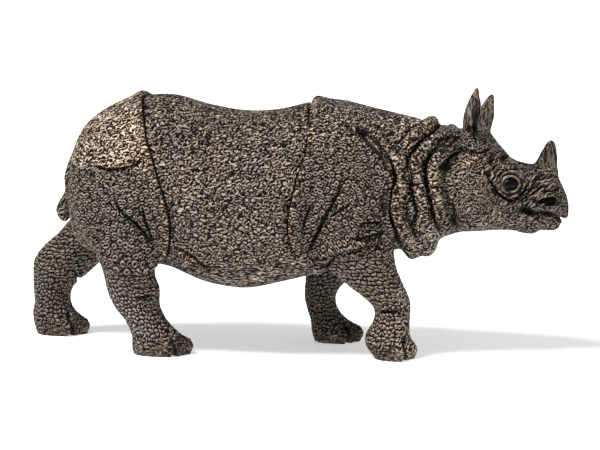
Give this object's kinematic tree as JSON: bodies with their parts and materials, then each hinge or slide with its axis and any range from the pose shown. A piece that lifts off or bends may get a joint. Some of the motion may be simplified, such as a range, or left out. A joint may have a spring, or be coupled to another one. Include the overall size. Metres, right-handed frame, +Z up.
{
  "type": "rhinoceros figurine",
  "caption": "Small moulded figurine of a walking one-horned rhinoceros with plated, knobbly hide; stands on its own flat feet.",
  "frame": {"origin": "on the ground under the middle of the bounding box", "axes": "+X is the way the animal walks and looks, +Z is up, -Y is its right side"},
  "size_m": [0.15, 0.0482, 0.0732],
  "materials": {
    "painted_hide": "matte moulded plastic, grey-brown with a dark wash in the creases and pale dry-brushed bumps; glossy dark eyes"
  },
  "bodies": {
    "root": {"rhinoceros": "painted_hide"}
  },
  "joints": []
}
